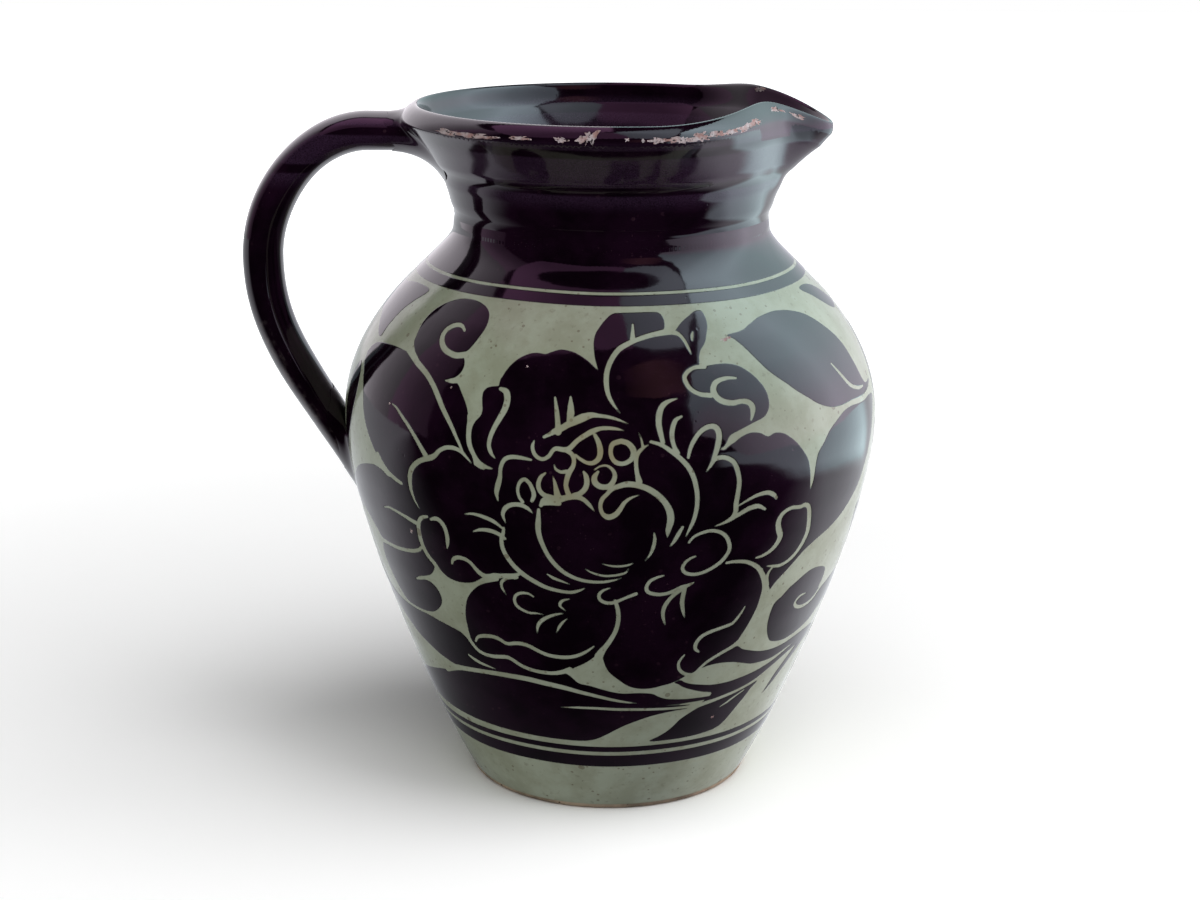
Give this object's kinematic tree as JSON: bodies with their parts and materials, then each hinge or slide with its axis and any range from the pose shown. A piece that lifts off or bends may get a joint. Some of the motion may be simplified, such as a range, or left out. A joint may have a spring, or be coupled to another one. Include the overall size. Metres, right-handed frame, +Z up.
{
  "type": "carved jug",
  "caption": "Round-bellied glazed stoneware jug with a pinched pouring lip, a pulled handle and a carved peony band.",
  "frame": {"origin": "on the vessel's axis, at the plane of the foot that rests on the table", "axes": "+Z up along the vessel's axis; the lip points along +X and the handle stands out along -X"},
  "size_m": [0.1762, 0.1482, 0.1928],
  "materials": {
    "slip_glazed_body": "gloss",
    "slip_glazed_handle": "gloss",
    "slip_glazed_clay": "gloss"
  },
  "bodies": {
    "root": {"thrown_body": "slip_glazed_body", "pulled_handle": "slip_glazed_handle", "upper_luting_clay": "slip_glazed_clay", "lower_luting_clay": "slip_glazed_clay"}
  },
  "joints": []
}
